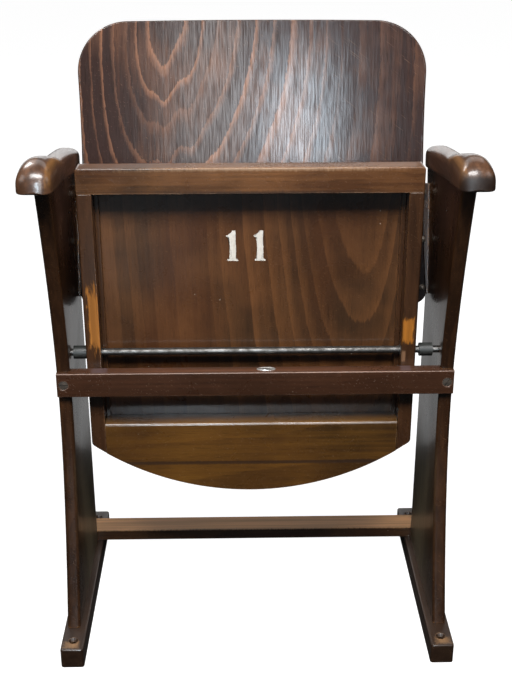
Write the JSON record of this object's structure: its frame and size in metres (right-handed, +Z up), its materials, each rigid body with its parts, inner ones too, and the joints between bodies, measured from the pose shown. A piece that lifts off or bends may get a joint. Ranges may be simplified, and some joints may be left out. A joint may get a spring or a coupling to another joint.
{
  "type": "tip-up auditorium seat",
  "caption": "Wooden auditorium chair with a tip-up plywood seat on a steel rod, a bent plywood back, carved armrests and two long feet.",
  "frame": {"origin": "on the floor, in the middle of the four floor screw holes of the feet", "axes": "+X towards the sitter's left, +Y towards the back of the chair, +Z up"},
  "size_m": [0.5812, 0.392, 0.8343],
  "materials": {
    "frame_wood": "dark brown stain under worn gloss varnish",
    "armrest_wood": "dark brown stain under gloss varnish, polished by hands",
    "backrest_wood": "purple-brown stained face veneer under gloss varnish",
    "seat_plywood": "red-brown stained face veneer under varnish",
    "seat_wood": "brown stain under varnish, worn through at the stops",
    "dowel_wood": "bare beech, glued in",
    "screw_steel": "darkened steel",
    "rod_steel": "bright steel with a dull film",
    "sleeve_paint": "dark grey-green paint",
    "bush_steel": "plain steel tube"
  },
  "bodies": {
    "frame": {"left_foot": "frame_wood", "right_foot": "frame_wood", "left_side_panel": "frame_wood", "right_side_panel": "frame_wood", "front_crossbar": "frame_wood", "rear_stretcher": "frame_wood", "left_armrest": "armrest_wood", "right_armrest": "armrest_wood", "backrest_shell": "backrest_wood", "left_back_batten": "frame_wood", "right_back_batten": "frame_wood", "crossbar_screws": "screw_steel", "foot_screws": "screw_steel", "stretcher_screws": "screw_steel", "batten_screws": "screw_steel", "back_screws": "screw_steel", "armrest_dowels": "dowel_wood", "pivot_rod": "rod_steel", "left_pivot_sleeve": "sleeve_paint", "right_pivot_sleeve": "sleeve_paint"},
    "seat": {"seat_front_rail": "seat_wood", "left_seat_stile": "seat_wood", "right_seat_stile": "seat_wood", "seat_rear_rail": "seat_wood", "seat_panel": "seat_plywood", "left_seat_cleat": "seat_wood", "right_seat_cleat": "seat_wood", "left_pivot_bush": "bush_steel", "right_pivot_bush": "bush_steel", "seat_screws": "screw_steel", "seat_dowels": "dowel_wood"}
  },
  "joints": [
    {"name": "seat_tip", "type": "hinge", "parent": "frame", "child": "seat", "pos_m": [0, -0.0317, 0.4184], "axis": [1, 0, 0], "range_deg": [0, 86]}
  ]
}
